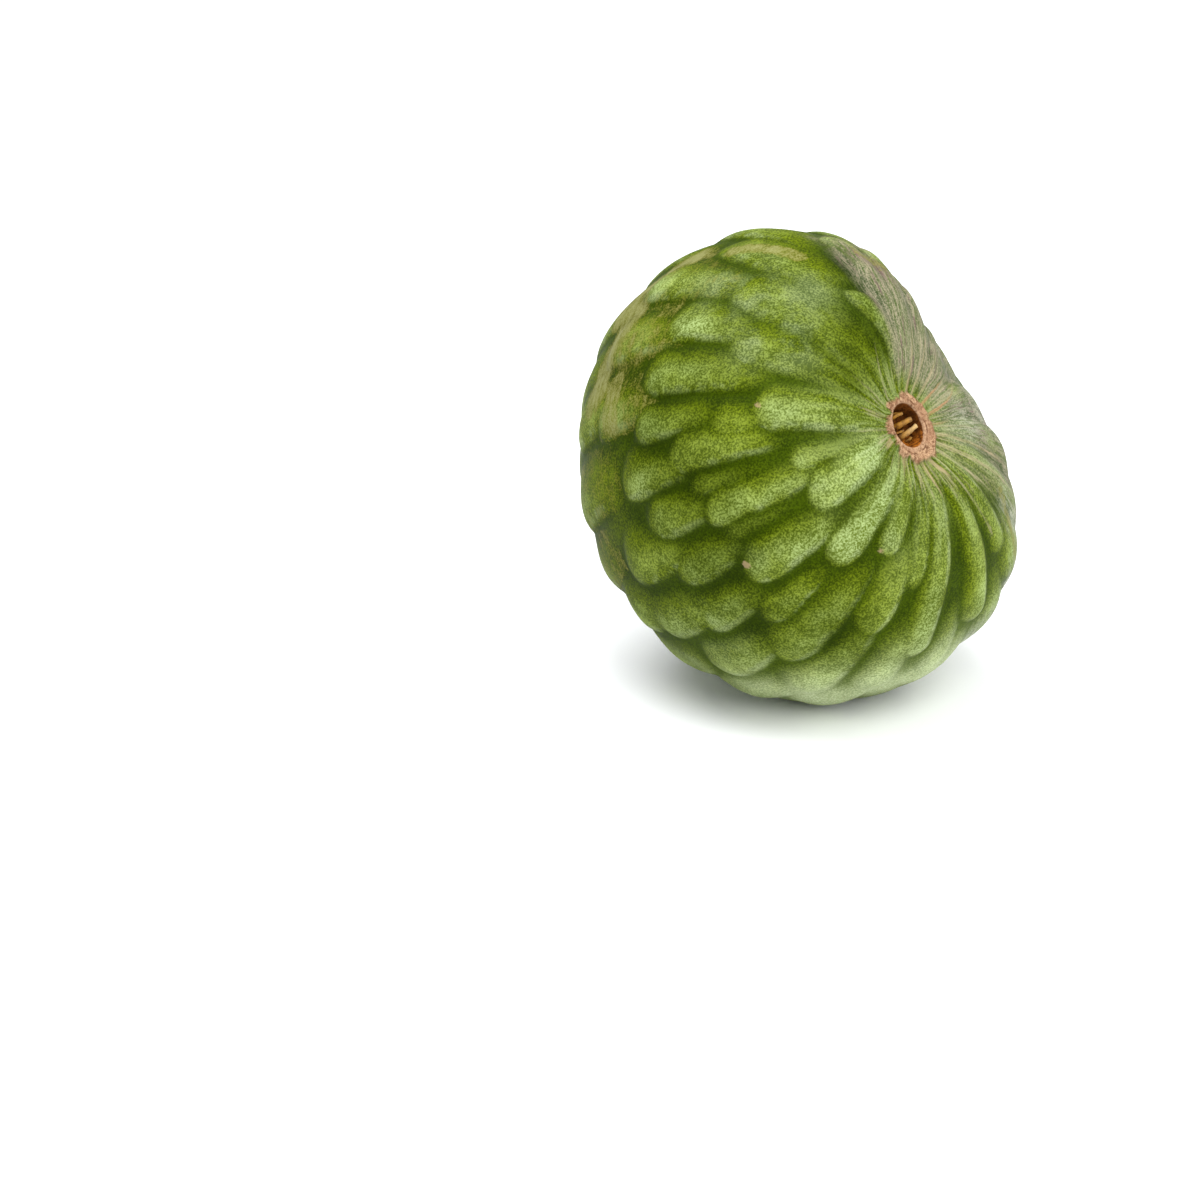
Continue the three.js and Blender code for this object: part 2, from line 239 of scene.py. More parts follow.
# around, down, half width, length, rise, lean; then tone, tan dot on the tip, wear
FRONT_SCALES = [
    (5, 41, 5, 34, 1.5, 0.9, -0.1, 0, 0),
    (22, 29, 4, 26, 0.5, 0, -0.2, 0, 0),
    (26, 43, 7.5, 34, 0.8, 0, 0.0, 0, 0),
    (70, 49, 7, 44, 1.7, 0, -0.05, 0.8, 0),
    (91, 42, 5, 30, 1.0, 0, 0.1, 0, 0),
    (107, 42, 8, 44, 1.8, 0.3, 1.05, 0, 0),
    (128, 48, 7, 46, 1.7, 0, 0.8, 0.5, 0),
    (146, 39, 5, 38, 1.4, 0, 0.0, 0.8, 0),
    (163, 46, 5, 36, 1.1, 0, 0.0, 0, 0),
    (174, 67, 6, 62, 1.5, 0, 0.1, 0, 0),
    (-163, 63, 5, 56, 1.5, 0, 0.1, 0, 0),
    (-148, 50, 5, 42, 1.2, 0, -0.1, 0, 0),
    (-128, 58, 6, 52, 1.4, 0, 0.0, 0.3, 0.2),
    (-106, 44, 6, 36, 1.2, 0, 0.1, 0, 0.1),
    (-80, 46, 6, 38, 1.2, 0, 0.0, 0, 0.2),
    (-56, 58, 6.5, 50, 1.2, 0, 0.0, 0, 0.3),
    (-40, 62, 6.5, 54, 1.5, 0, 0.1, 0, 0.3),
    (-24, 65, 6.5, 58, 1.7, 0, 0.0, 0, 0.3),
    (-9, 64, 6, 56, 1.7, 0.3, -0.1, 0, 0),
    (12, 77, 8.5, 38, 1.0, 0, 0.1, 0, 0),
    (27, 64, 10, 36, 0.8, 0, 0.3, 0, 0),
    (46, 58, 8.5, 38, 0.8, 0, 0.0, 0, 0),
    (42, 76, 7.5, 26, 1.4, 0, 0.3, 0.2, 0),
    (57, 80, 7.5, 36, 1.5, 0, 0.1, 0, 0),
    (73, 60, 6, 22, 1.2, 0, -0.3, 0, 0),
    (70, 82, 6.5, 28, 1.6, 0, -0.1, 0, 0),
    (79, 72, 7, 32, 1.8, 0, 0.1, 0, 0),
    (89, 68, 5.5, 26, 1.1, 0, -0.3, 0, 0),
    (97, 66, 6, 36, 1.8, 0, 0.3, 0, 0),
    (104, 64, 5, 26, 1.0, 0, -0.2, 0, 0),
    (116, 65, 7.5, 38, 1.9, 0, 0.1, 1.0, 0),
    (129, 70, 6.5, 26, 1.4, 0, -0.3, 0, 0),
    (140, 78, 9, 38, 1.7, 0, 0.0, 0, 0),
    (154, 60, 7, 32, 1.6, 0, 0.0, 0, 0),
    (153, 89, 9, 36, 1.6, 0, 0.3, 0, 0),
    (168, 82, 8, 34, 1.5, 0, 0.4, 0, 0),
    (-176, 84, 7.5, 30, 1.5, 0, 0.3, 0, 0),
    (-155, 80, 7.5, 34, 1.5, 0, 0.2, 0, 0.2),
    (-136, 78, 7, 30, 1.5, 0, 0.1, 0, 0.4),
    (28, 92, 8, 30, 1.7, 0, 0.2, 0, 0.5),
    (45, 98, 8, 30, 1.7, 0, 0.2, 0, 0.8),
    (64, 99, 7.5, 28, 1.6, 0, 0.1, 0, 0.8),
    (82, 89, 7.5, 28, 1.6, 0, 0.0, 0, 0.4),
    (94, 84, 7.5, 28, 1.5, 0, -0.1, 0, 0),
    (108, 82, 7.5, 28, 1.5, 0, -0.1, 0, 0),
    (122, 86, 7.5, 28, 1.5, 0, 0.0, 0, 0),
    (136, 98, 8.5, 30, 1.6, 0, 0.0, 0, 0),
    (102, 100, 8.5, 30, 1.6, 0, 0.0, 0, 0),
    (119, 104, 8.5, 30, 1.6, 0, 0.0, 0, 0),
    (166, 101, 8.5, 30, 1.5, 0, 0.4, 0, 0),
    (150, 110, 8.5, 32, 1.5, 0, 0.3, 0, 0),
]
SPIRAL_COUNT = 110
SPIRAL_ANGLE = 137.5
SCALE_HALF_WIDTH = 9.4
SCALE_LENGTH = 28.0
SCALE_RISE = 1.7
TIP_SPACING = 12.0
TIP_SCATTER = 5
FRONT_REACH = 70.0
SPIRAL_BEGINS = 34.0
SPIRAL_ENDS = 164.0
FAR_RING_COUNT = 6
FAR_RING_DOWN = 173.0
FRONT = np.array([0.0, -math.cos(math.radians(VIEW_TILT)), math.sin(math.radians(VIEW_TILT))])


def uneven(n, seed):
    """A fixed spread of small differences between the scales, from -0.5 to 0.5."""
    return ((n * 0.7548777 + seed * 0.5698403) % 1.0) - 0.5


def degrees_apart(one, other):
    return math.degrees(math.acos(min(1.0, max(-1.0, float(one @ other)))))


front_tips = [direction(np.array(float(s[0])), np.array(float(s[1]))) for s in FRONT_SCALES]
scales = [tuple(float(v) for v in s) for s in FRONT_SCALES]
for i in range(SPIRAL_COUNT):
    around = (i * SPIRAL_ANGLE + TIP_SCATTER * uneven(i, 1) + 180) % 360 - 180
    down = math.degrees(math.acos(1 - 2 * (i + 0.5) / SPIRAL_COUNT)) + TIP_SCATTER * uneven(i, 2)
    tip = direction(np.array(around), np.array(down))
    if not SPIRAL_BEGINS <= down <= SPIRAL_ENDS or degrees_apart(tip, FRONT) < FRONT_REACH:
        continue
    if min(degrees_apart(tip, other) for other in front_tips) < TIP_SPACING:
        continue
    half = SCALE_HALF_WIDTH * (1 + 0.3 * uneven(i, 3))
    length = SCALE_LENGTH * (1 + 0.3 * uneven(i, 4))
    rise = SCALE_RISE * (1 + 0.4 * uneven(i, 5))
    dot = max(0.0, 3.0 * uneven(i, 8) - 0.4)
    wear = max(0.0, 2.0 * uneven(i, 9))
    scales.append((around, down, half, length, rise, 0.0, 0.9 * uneven(i, 7), dot, wear))
for k in range(FAR_RING_COUNT):
    around = 360 // FAR_RING_COUNT * k + 15 + 9 * uneven(k, 6)
    scales.append((around, FAR_RING_DOWN, 7.0, 20.0, 1.3, 0.0, 0.0, 0.0, 0.3))
scales = np.array(scales)

tip_mesh = bpy.data.meshes.new("scale_tips")
tip_places = direction(scales[:, 0], scales[:, 1]) * BODY_RADIUS * MILLIMETRE
tip_mesh.from_pydata(tip_places.tolist(), [], [])
store(tip_mesh, "place", scales[:, [0, 1, 5]], "FLOAT_VECTOR")
store(tip_mesh, "form", scales[:, [2, 3, 4]], "FLOAT_VECTOR")
store(tip_mesh, "finish", scales[:, [6, 7, 8]], "FLOAT_VECTOR")
scale_tips = bpy.data.objects.new("scale_tips", tip_mesh)
collection.objects.link(scale_tips)


class Wiring:
    """Adds nodes to one tree. A value is a number, or the output that feeds it."""

    def __init__(self, tree):
        self.tree = tree

    def add(self, kind, feeds=(), **settings):
        node = self.tree.nodes.new(kind)
        for name, value in settings.items():
            setattr(node, name, value)
        for socket, value in dict(feeds).items():
            self.feed(node.inputs[socket], value)
        return node

    def feed(self, socket, value):
        if isinstance(value, bpy.types.NodeSocket):
            self.tree.links.new(value, socket)
        else:
            socket.default_value = value

    def math(self, operation, *values, clamp=False):
        feeds = enumerate(values)
        return self.add(
            "ShaderNodeMath", feeds, operation=operation, use_clamp=clamp
        ).outputs[0]

    def vector(self, operation, *values):
        node = self.add("ShaderNodeVectorMath", operation=operation)
        for socket, value in zip(node.inputs, values):
            self.feed(socket, value)
        single = operation in ("LENGTH", "DOT_PRODUCT", "DISTANCE")
        return node.outputs["Value" if single else "Vector"]

    def ramp(self, value, low, high, start=0.0, end=1.0):
        """Runs smoothly from start to end while value runs from low to high."""
        feeds = {"Value": value, "From Min": low, "From Max": high}
        node = self.add("ShaderNodeMapRange", feeds, interpolation_type="SMOOTHSTEP")
        self.feed(node.inputs["To Min"], start)
        self.feed(node.inputs["To Max"], end)
        return node.outputs["Result"]


def new_tree(name, inputs):
    """A geometry tree with its own named inputs: (name, kind, usual value)."""
    tree = bpy.data.node_groups.new(name, "GeometryNodeTree")
    tree.interface.new_socket("Geometry", in_out="OUTPUT", socket_type="NodeSocketGeometry")
    tree.interface.new_socket("Geometry", in_out="INPUT", socket_type="NodeSocketGeometry")
    for title, kind, value in inputs:
        socket = tree.interface.new_socket(title, in_out="INPUT", socket_type="NodeSocket" + kind)
        if value is not None:
            socket.default_value = value
    return tree


def grow(carrier, tree, values, name):
    """Runs a tree on a carrier object and returns its result as a plain mesh object."""
    modifier = carrier.modifiers.new(tree.name, "NODES")
    modifier.node_group = tree
    for item in tree.interface.items_tree:
        if item.in_out == "INPUT" and item.name in values:
            modifier[item.identifier] = values[item.name]
    ready = bpy.context.evaluated_depsgraph_get()
    mesh = bpy.data.meshes.new_from_object(
        carrier.evaluated_get(ready), preserve_all_data_layers=True, depsgraph=ready
    )
    carrier.modifiers.remove(modifier)
    mesh.name = name
    piece = bpy.data.objects.new(name, mesh)
    collection.objects.link(piece)
    bpy.data.objects.remove(carrier)
    return piece


scale_tree = new_tree("scales_on_body", [
    ("Tips", "Object", None),
    ("Centre", "Vector", (0.0, 0.0, 0.0)),
    ("Root taper", "Float", 0.25),
    ("Crest shift", "Float", 0.35),
    ("Blend power", "Float", 8.0),
    ("Millimetres per degree", "Float", 0.83),
    ("Scales begin", "Float", SCALES_BEGIN),
    ("Scales full", "Float", 17.0),
    ("Edge wobble", "Float", 0.8),
    ("Skin undulation", "Float", 0.12),
    ("Cork roughness", "Float", 0.3),
    ("Groove reach", "Int", 60),
    ("Crease reach", "Int", 9),
    ("Inset", "Float", 0.08),
    ("Flat softness", "Float", 0.5),
    ("Seed", "Float", 3.0),
    ("Skin", "Material", None),
])
wire = Wiring(scale_tree)
given = wire.add("NodeGroupInput").outputs


def named(name, kind="FLOAT"):
    feeds = {"Name": name}
    return wire.add("GeometryNodeInputNamedAttribute", feeds, data_type=kind).outputs[0]


def waviness(period, detail=2.0):
    """Soft noise from -1 to 1 whose waves are about period millimetres long."""
    place = wire.add("GeometryNodeInputPosition").outputs[0]
    feeds = {"Vector": place, "W": given["Seed"], "Scale": 1000.0 / period, "Detail": detail}
    noise = wire.add("ShaderNodeTexNoise", feeds, noise_dimensions="4D")
    return wire.math("MULTIPLY_ADD", noise.outputs[0], 2.0, -1.0)


# Points are moved by a little before they look for their scale, so no tongue is a
# drawn curve.
per_degree = given["Millimetres per degree"]
degrees_of_wobble = wire.math("DIVIDE", given["Edge wobble"], per_degree)
widen = wire.math("SINE", wire.math("RADIANS", named("down")))
wobble_around = wire.math("DIVIDE", degrees_of_wobble, wire.math("MAXIMUM", widen, 0.25))
here_down = wire.math("MULTIPLY_ADD", waviness(9.0), degrees_of_wobble, named("down"))
here_around = wire.math("MULTIPLY_ADD", waviness(11.0), wobble_around, named("around"))

tips = wire.add("GeometryNodeObjectInfo", {"Object": given["Tips"]}).outputs["Geometry"]
tip_count = wire.add("GeometryNodeAttributeDomainSize", {"Geometry": tips}).outputs["Point Count"]

# One turn of the loop for each scale: its height here, and whether it is the highest.
turn_start = wire.add("GeometryNodeRepeatInput")
turn_end = wire.add("GeometryNodeRepeatOutput")
turn_start.pair_with_output(turn_end)
for item in ("Sum", "Highest", "Crown", "Off crest", "Tone", "Dot", "Wear"):
    turn_end.repeat_items.new("FLOAT", item)
wire.feed(turn_start.inputs["Iterations"], tip_count)
wire.feed(turn_start.inputs["Geometry"], given["Geometry"])
turn = turn_start.outputs["Iteration"]


def of_this_scale(name):
    field = named(name, "FLOAT_VECTOR")
    sample = wire.add("GeometryNodeSampleIndex", data_type="FLOAT_VECTOR", domain="POINT")
    wire.feed(sample.inputs["Geometry"], tips)
    wire.feed(sample.inputs["Value"], field)
    wire.feed(sample.inputs["Index"], turn)
    return wire.add("ShaderNodeSeparateXYZ", {0: sample.outputs[0]}).outputs


tip_around, tip_down, lean = of_this_scale("place")
half, length, rise = of_this_scale("form")
tone, dot, wear = of_this_scale("finish")
before_tip = wire.math("SUBTRACT", tip_down, here_down)
back = wire.math("MULTIPLY", before_tip, per_degree)
off_tip = wire.math("SUBTRACT", here_around, tip_around)
leaning = wire.math("MULTIPLY_ADD", lean, before_tip, off_tip)
off_middle = wire.math("WRAP", leaning, 180.0, -180.0)
to_root = wire.math("DIVIDE", back, length, clamp=True)
tapering = wire.math("MULTIPLY", given["Root taper"], to_root)
narrowing = wire.math("MULTIPLY_ADD", tapering, -1.0, 1.0)
sideways = wire.math("MULTIPLY", wire.math("MULTIPLY", off_middle, widen), per_degree)
side = wire.math("DIVIDE", sideways, wire.math("MULTIPLY", half, narrowing))
inside = wire.math("SUBTRACT", 1.0, wire.math("MULTIPLY", side, side), clamp=True)
from_crest = wire.math("SUBTRACT", side, wire.math("MULTIPLY", given["Crest shift"], inside))
end = wire.math("DIVIDE", wire.math("MAXIMUM", wire.math("SUBTRACT", half, back), 0.0), half)
outward = wire.math("MULTIPLY_ADD", from_crest, from_crest, wire.math("MULTIPLY", end, end))
crown = wire.math("SUBTRACT", 1.0, outward, clamp=True)
fading = wire.math("SUBTRACT", 1.0, wire.math("POWER", to_root, 1.5))
fullness = wire.math("MULTIPLY", crown, fading)
height = wire.math("MULTIPLY", rise, fullness)
power = wire.math("POWER", height, given["Blend power"])
wire.feed(turn_end.inputs["Sum"], wire.math("ADD", turn_start.outputs["Sum"], power))
is_highest = wire.math("GREATER_THAN", height, turn_start.outputs["Highest"])
for item, value in (
    ("Highest", height),
    ("Crown", fullness),
    ("Off crest", from_crest),
    ("Tone", tone),
    ("Wear", wear),
):
    switch = wire.add("GeometryNodeSwitch", input_type="FLOAT")
    wire.feed(switch.inputs["Switch"], is_highest)
    wire.feed(switch.inputs["False"], turn_start.outputs[item])
    wire.feed(switch.inputs["True"], value)
    wire.feed(turn_end.inputs[item], switch.outputs[0])
from_dot = wire.math("SUBTRACT", back, wire.math("MULTIPLY", half, 0.42))
along_squared = wire.math("MULTIPLY", from_dot, from_dot)
dot_distance = wire.math("MULTIPLY_ADD", sideways, sideways, along_squared)
spot = wire.math("MULTIPLY", dot, wire.ramp(dot_distance, 0.1, 1.6, 1.0, 0.0))
wire.feed(turn_end.inputs["Dot"], wire.math("MAXIMUM", turn_start.outputs["Dot"], spot))
wire.feed(turn_end.inputs["Geometry"], turn_start.outputs["Geometry"])

# The highest scale shows, and where two meet they blend over a narrow valley.
beginning = wire.ramp(named("down"), given["Scales begin"], given["Scales full"])
root_power = wire.math("DIVIDE", 1.0, given["Blend power"])
root_of_sum = wire.math("POWER", turn_end.outputs["Sum"], root_power)
relief_field = wire.math("MULTIPLY", root_of_sum, beginning)
keep = wire.add("GeometryNodeCaptureAttribute", {"Geometry": turn_end.outputs["Geometry"]})
kept = {}
for item, value in (
    ("Relief", relief_field),
    ("Crown", turn_end.outputs["Crown"]),
    ("Off crest", turn_end.outputs["Off crest"]),
    ("Tone", turn_end.outputs["Tone"]),
    ("Dot", turn_end.outputs["Dot"]),
    ("Wear", turn_end.outputs["Wear"]),
):
    keep.capture_items.new("FLOAT", item)
    wire.feed(keep.inputs[item], value)
    kept[item] = keep.outputs[item]
# How far each point sinks below the skin round it, wide and narrow; the skin paints shade there.
spread = wire.add("GeometryNodeBlurAttribute", data_type="FLOAT")
wire.feed(spread.inputs["Value"], kept["Relief"])
wire.feed(spread.inputs["Iterations"], given["Groove reach"])
valley = wire.math("SUBTRACT", spread.outputs[0], kept["Relief"])
near_spread = wire.add("GeometryNodeBlurAttribute", data_type="FLOAT")
wire.feed(near_spread.inputs["Value"], kept["Relief"])
wire.feed(near_spread.inputs["Iterations"], given["Crease reach"])
crease = wire.math("SUBTRACT", near_spread.outputs[0], kept["Relief"])

shape = keep.outputs["Geometry"]
for name, value in (
    ("relief", kept["Relief"]),
    ("crown", kept["Crown"]),
    ("off_crest", kept["Off crest"]),
    ("valley", valley),
    ("crease", crease),
    ("tone", kept["Tone"]),
    ("dot", kept["Dot"]),
    ("wear", kept["Wear"]),
):
    stored = wire.add("GeometryNodeStoreNamedAttribute", {"Geometry": shape, "Name": name})
    stored.data_type = "FLOAT"
    stored.domain = "POINT"
    wire.feed(stored.inputs["Value"], value)
    shape = stored.outputs[0]

# Lift the skin along lines from the centre, roughen the cork, and press the underside
# flat where the fruit lies. The inset keeps this finer mesh inside the solid's box.
on_cork = wire.ramp(named("past_cork"), -0.6, 0.8, 1.0, 0.0)
cork_share = wire.math("MULTIPLY", given["Cork roughness"], on_cork)
rough = wire.math("MULTIPLY", cork_share, waviness(1.6, 3.0))
uneven_skin = wire.math("MULTIPLY", given["Skin undulation"], waviness(7.0))
drawn_in = wire.math("SUBTRACT", named("relief"), given["Inset"])
lift = wire.math("ADD", wire.math("ADD", drawn_in, rough), uneven_skin)
place = wire.add("GeometryNodeInputPosition").outputs[0]
outwards = wire.vector("NORMALIZE", wire.vector("SUBTRACT", place, given["Centre"]))
offset = wire.add("ShaderNodeVectorMath", operation="SCALE")
wire.feed(offset.inputs[0], outwards)
wire.feed(offset.inputs["Scale"], wire.math("MULTIPLY", lift, MILLIMETRE))
lifted = wire.add("GeometryNodeSetPosition", {"Geometry": shape, "Offset": offset.outputs[0]})
raised_place = wire.add("GeometryNodeInputPosition").outputs[0]
along = wire.add("ShaderNodeSeparateXYZ", {0: raised_place})
soft = wire.math("MULTIPLY", given["Flat softness"], MILLIMETRE)
over = wire.math("ADD", wire.math("DIVIDE", along.outputs["Z"], soft), 1.0)
bend = wire.math("MINIMUM", wire.math("MAXIMUM", over, 0.0), 2.0)
quarter = wire.math("MULTIPLY", soft, 0.25)
curved = wire.math("MULTIPLY", wire.math("MULTIPLY", bend, bend), quarter)
straight = wire.math("MAXIMUM", wire.math("SUBTRACT", along.outputs["Z"], soft), 0.0)
settled = wire.add("ShaderNodeCombineXYZ")
wire.feed(settled.inputs[0], along.outputs["X"])
wire.feed(settled.inputs[1], along.outputs["Y"])
wire.feed(settled.inputs[2], wire.math("ADD", curved, straight))
resting = {"Geometry": lifted.outputs[0], "Position": settled.outputs[0]}
rested = wire.add("GeometryNodeSetPosition", resting)


def finish_tree(shape, material):
    """Ends a tree: smooth faces, real ones only, all in one material."""
    smooth_faces = wire.add("GeometryNodeSetShadeSmooth", {"Geometry": shape})
    real = wire.add("GeometryNodeRealizeInstances", {"Geometry": smooth_faces.outputs[0]})
    feeds = {"Geometry": real.outputs[0], "Material": material}
    covered = wire.add("GeometryNodeSetMaterial", feeds)
    wire.feed(wire.add("NodeGroupOutput").inputs[0], covered.outputs[0])


finish_tree(rested.outputs[0], given["Skin"])


# Skin: waxy, finely speckled green. Light cells lie on a darker ground, the valleys
# between scales are darker still, partly their own green and partly painted shade, a
# pale bloom clouds some places, rubbed ridges are olive tan with a pale middle that is
# partly painted sheen, and tan cork lines run out from the scar.

# Places on the skin: around, down, spread in degrees, strength.
BLOOM_CLOUDS = [
    (30, 60, 10, 0.9), (41, 41, 9, 0.8), (22, 44, 9, 0.7), (8, 40, 6, 0.5), (46, 48, 9, 0.6),
    (88, 30, 7, 0.35), (-176, 66, 9, 0.6), (-160, 76, 12, 0.8), (128, 84, 10, 0.5),
    (107, 34, 7, 0.5), (150, 34, 6, 0.4), (-110, 96, 18, 0.7), (-40, 104, 16, 0.6),
    (60, 140, 18, 0.7), (-20, 150, 16, 0.5),
]
# The underside: pale bloom, with painted light bounced up from the floor.
UNDERSIDE_BLOOM_AND_BOUNCE = [
    (150, 93, 10, 0.6), (163, 88, 13, 1.0), (176, 80, 13, 1.0), (-170, 76, 12, 1.0),
    (-155, 84, 14, 1.0), (170, 110, 22, 0.9), (-150, 120, 26, 0.9),
]
# Silver grey at the right outline and beside the scar: greyer skin, with painted sheen where it turns
# away.
SILVER_EDGE_AND_SHEEN = [
    (-131, 42, 4, 0.6), (-132, 50, 5, 0.8), (-136, 60, 6, 1.0), (-143, 66, 6, 1.0),
    (-150, 70, 6, 1.0), (-157, 73, 6, 1.0), (-128, 68, 12, 0.9), (-140, 80, 12, 0.9),
    (-95, 48, 6, 0.6), (-88, 60, 10, 0.7), (-98, 26, 9, 0.5),
]
# Painted shade: places on the flanks and near the scar painted darker, where shade falls.
PAINTED_SHADE_PLACES = [
    (72, 72, 16, 0.7), (92, 66, 14, 0.8), (112, 68, 12, 0.8), (129, 71, 9, 0.8),
    (110, 100, 24, 0.5), (-2, 36, 8, 1.0), (-3, 48, 8, 0.9), (4, 27, 6, 0.8), (60, 64, 8, 0.5),
    (148, 62, 8, 0.8), (31, 27, 7, 1.0), (42, 24, 6, 0.8), (22, 31, 7, 0.9), (30, 20, 5, 0.7),
    (17, 25, 6, 0.9),
]
RUSTY_NET = [
    (-9, 52, 3, 0.9), (-13, 50, 3, 1.0), (-18, 48, 3.5, 1.0), (-22, 46, 3, 0.8),
    (-92, 52, 3, 0.8), (-108, 31, 3, 0.6),
]
STILL_GREEN = [
    (-98, 22, 9, 0.4), (-122, 24, 12, 0.8), (-72, 29, 4, 0.8), (-143, 38, 14, 0.9),
    (-110, 36, 8, 0.5),
]
RAY_PLACES = [
    (180, 13, 8, 0.9), (-160, 15, 10, 1.0), (-140, 24, 12, 1.0), (-134, 42, 11, 0.9),
    (-142, 60, 9, 0.7), (-64, 22, 9, 1.0), (-80, 24, 8, 1.0), (-40, 24, 10, 0.8),
    (-30, 40, 9, 0.5), (-56, 44, 9, 0.7), (112, 12, 4, 0.9), (-105, 12, 7, 1.0),
    (0, 15, 6, 0.5), (60, 14, 6, 0.45), (140, 13, 6, 0.6), (-20, 18, 6, 0.6),
]
# Lines that run out from the scar: around and down at its start, the same at its
# end, half width in millimetres, strength, and how orange it is.
SCAR_LINES = [
    (170, 9, 167, 22, 0.45, 0.6, 0.2), (-179, 9, -172, 24, 0.65, 0.9, 0.3),
    (-163, 9, -153, 21, 0.75, 0.9, 0.3), (-112, 9, -114, 50, 0.55, 0.8, 0.2),
    (-127, 9, -122, 54, 0.60, 0.8, 0.1), (-140, 9, -132, 44, 0.40, 0.6, 0.0),
    (-60, 9, -62, 28, 0.45, 0.9, 1.0), (-82, 9, -72, 30, 0.55, 1.0, 1.0),
    (-98, 9, -94, 20, 0.50, 0.6, 0.7), (-22, 9, -28, 38, 0.40, 0.6, 0.3),
    (-34, 9, -43, 46, 0.35, 0.6, 0.2), (-48, 10, -52, 40, 0.40, 0.6, 0.2),
    (26, 9, 8, 27, 0.35, 0.45, 0.0), (61, 9, 66, 18, 0.40, 0.4, 0.0),
    (89, 9, 84, 26, 0.35, 0.4, 0.0), (42, 10, 44, 25, 0.30, 0.4, 0.0),
    (112, 9, 113, 14, 1.0, 0.8, 0.5), (150, 9, 148, 15, 0.8, 0.6, 0.4),
]
# Routes on the skin, half width in millimetres, strength. Where a route runs along the
# upper-left outline, its pale band is painted sheen as well as worn skin.
RUBBED_RIDGES_AND_SHEEN = [
    ([(10, 56), (12, 61), (14, 66), (17, 71)], 2.8, 0.8),
    ([(18, 81), (24, 88), (30, 94), (36, 98)], 4.8, 0.9),
    ([(38, 91), (44, 93), (51, 97), (58, 100)], 6.4, 0.9),
    ([(58, 90), (63, 90), (68, 90)], 4.4, 0.7),
    ([(-12, 53), (-18, 51)], 3.6, 0.5),
    ([(-130, 38), (-135, 48), (-140, 56)], 1.8, 0.6),
    ([(-100, 70), (-98, 79)], 3.6, 0.6),
    ([(-58, 92), (-50, 95)], 4.4, 0.5),
    ([(4, 114), (14, 118), (24, 117)], 4.6, 0.6),
    ([(94, 129), (106, 134)], 5.0, 0.5),
]
everywhere = direction(around_all, down_all)


def clouded(places):
    """Strength at each point of the skin, from soft round patches."""
    total = np.zeros(len(around_all))
    for place_around, place_down, reach, strength in places:
        middle = direction(np.array(float(place_around)), np.array(float(place_down)))
        angle = np.degrees(np.arccos(np.clip(everywhere @ middle, -1.0, 1.0)))
        total = np.maximum(total, strength * np.exp(-((angle / reach) ** 2)))
    return total


def along_ridges(ridges):
    """Strength at each point of the skin, from bands that follow a route."""
    total = np.zeros(len(around_all))
    for route, half_width, strength in ridges:
        corners = np.array([direction(np.array(float(a)), np.array(float(d))) for a, d in route])
        for start, stop in zip(corners[:-1], corners[1:]):
            for share in np.linspace(0.0, 1.0, 6):
                middle = start + share * (stop - start)
                middle /= np.linalg.norm(middle)
                away = np.arccos(np.clip(everywhere @ middle, -1.0, 1.0)) * BODY_RADIUS
                band = strength * (1.0 - smooth(away, 0.3 * half_width, half_width))
                total = np.maximum(total, band)
    return total


for name, places in (
    ("bloom", BLOOM_CLOUDS),
    ("underside_bloom", UNDERSIDE_BLOOM_AND_BOUNCE),
    ("silver_edge", SILVER_EDGE_AND_SHEEN),
    ("shaded", PAINTED_SHADE_PLACES),
    ("still_green", STILL_GREEN),
    ("rusty_net", RUSTY_NET),
    ("rays", RAY_PLACES),
):
    store(body_mesh, name, clouded(places))
store(body_mesh, "rubbed_and_sheen", along_ridges(RUBBED_RIDGES_AND_SHEEN))

skin = bpy.data.materials.new("custard_apple_skin")
skin.use_nodes = True
skin.node_tree.nodes.clear()
wire = Wiring(skin.node_tree)


def on_skin(name):
    node = wire.add("ShaderNodeAttribute", attribute_name=name)
    return node.outputs["Vector" if name == "polar" else "Fac"]


def blend(factor, first, second, kind="MIX"):
    """Lays the second colour over the first, as far as factor says."""
    node = wire.add("ShaderNodeMix", data_type="RGBA", blend_type=kind)
    wire.feed(node.inputs[0], factor)
    wire.feed(node.inputs[6], first)
    wire.feed(node.inputs[7], second)
    return node.outputs[2]


def speckle(source, period, detail=2.0, roughness=0.5, seed=0.0, stretch=(1, 1, 1)):
    """Noise from 0 to 1, with waves about period long in the source's own units."""
    turned_to = wire.add("ShaderNodeMapping", {"Vector": source})
    turned_to.inputs["Scale"].default_value = [s / period for s in stretch]
    turned_to.inputs["Location"].default_value = (seed, 2.3 * seed, -1.7 * seed)
    feeds = {"Vector": turned_to.outputs[0], "Scale": 1.0, "Detail": detail, "Roughness": roughness}
    return wire.add("ShaderNodeTexNoise", feeds).outputs[0]


def facing(polar, around):
    """1 on the side of the fruit at this angle around the stem, -1 opposite."""
    a = math.radians(around)
    return wire.vector("DOT_PRODUCT", polar, (math.cos(a), math.sin(a), 0.0))


LIGHT_CELL = (0.132, 0.175, 0.0035, 1.0)
DARK_CELL = (0.038, 0.058, 0.0006, 1.0)
CROWN_LIGHT = (0.300, 0.385, 0.140, 1.0)
CROWN_YELLOW = (0.290, 0.365, 0.078, 1.0)
CROWN_DARK = (0.096, 0.134, 0.018, 1.0)
BLOOM_LIGHT = (0.275, 0.325, 0.165, 1.0)
BLOOM_DARK = (0.100, 0.135, 0.055, 1.0)

place = wire.add("ShaderNodeTexCoord").outputs["Object"]
polar = on_skin("polar")
relief = on_skin("relief")
off_crest = on_skin("off_crest")
painted_shade_there = on_skin("shaded")
axes = wire.add("ShaderNodeSeparateXYZ", {0: polar}).outputs
down = wire.math("MULTIPLY", axes[2], DOWN_UNIT)

